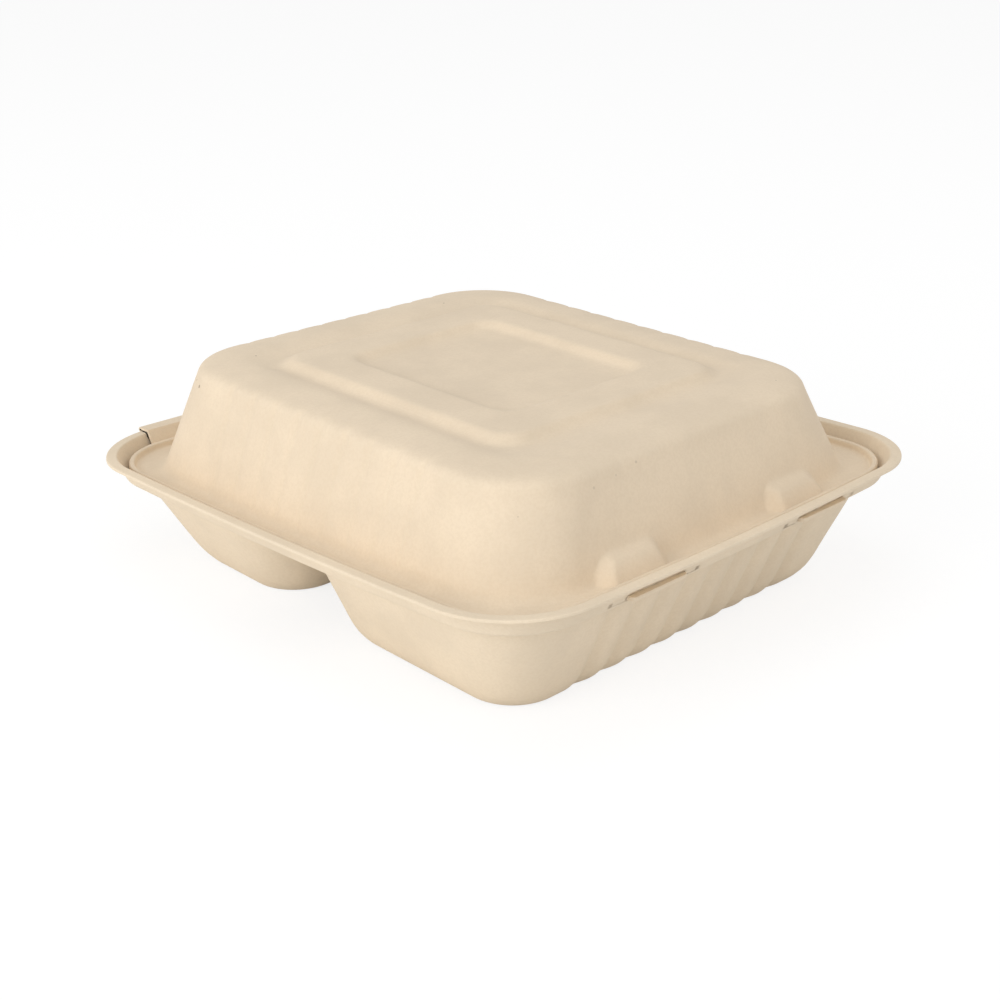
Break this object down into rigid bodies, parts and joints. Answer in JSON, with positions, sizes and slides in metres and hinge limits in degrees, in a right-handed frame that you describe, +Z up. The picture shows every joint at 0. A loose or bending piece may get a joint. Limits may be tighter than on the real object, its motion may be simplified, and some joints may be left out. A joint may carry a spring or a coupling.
{
  "type": "hinged food container",
  "caption": "Closed clamshell food box of moulded plant fibre: base with a large and two small compartments, grooved domed lid hinged at the rear, two locking tabs in front.",
  "frame": {"origin": "middle of the closed box's bounding box, on the surface it stands on", "axes": "+X to the box's right seen from the front, +Y towards the hinge, +Z up; the locking tabs face -Y"},
  "size_m": [0.23, 0.2516, 0.0813],
  "materials": {
    "base_fibre": "matt unbleached moulded sugarcane fibre with a fine screen texture",
    "lid_fibre": "matt unbleached moulded sugarcane fibre with a fine screen texture"
  },
  "bodies": {
    "base": {"base": "base_fibre"},
    "lid": {"lid": "lid_fibre"}
  },
  "joints": [
    {"name": "lid_hinge", "type": "hinge", "parent": "base", "child": "lid", "pos_m": [0, 0.1247, 0.04134], "axis": [-1, 0, 0], "range_deg": [0, 180]}
  ]
}
